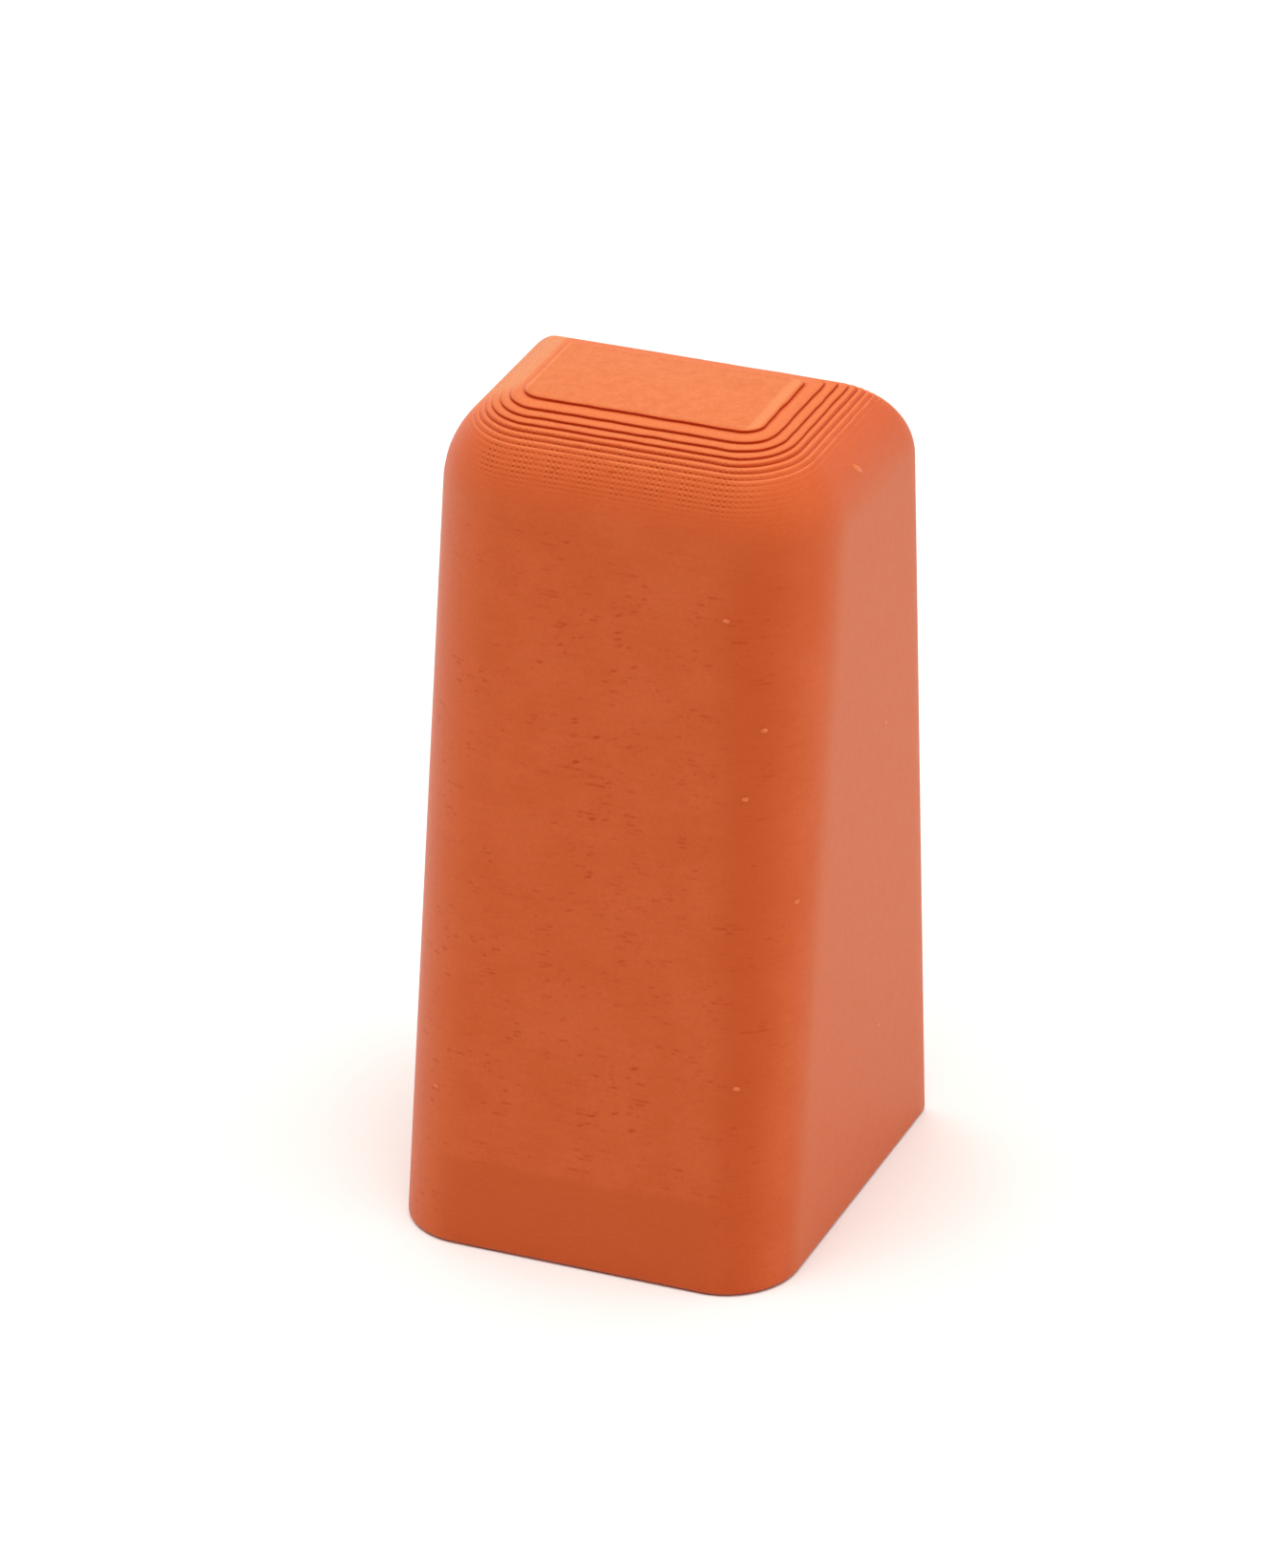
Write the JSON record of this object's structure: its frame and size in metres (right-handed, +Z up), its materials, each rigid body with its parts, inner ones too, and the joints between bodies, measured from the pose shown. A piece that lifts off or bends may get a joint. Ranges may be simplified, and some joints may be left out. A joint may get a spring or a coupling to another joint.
{
  "type": "printed tapered block",
  "caption": "Small upright plastic block, printed in layers, with a flat square base, upright sides and back, a leaning front, rounded front edges and a rounded top.",
  "frame": {"origin": "middle of the flat base, at floor level", "axes": "+Z up along the block's height, +X across its width, -Y towards its leaning front"},
  "size_m": [0.0198, 0.0198, 0.04],
  "materials": {
    "orange_plastic": "satin, with fine print layers"
  },
  "bodies": {
    "root": {"tapered_block": "orange_plastic"}
  },
  "joints": []
}
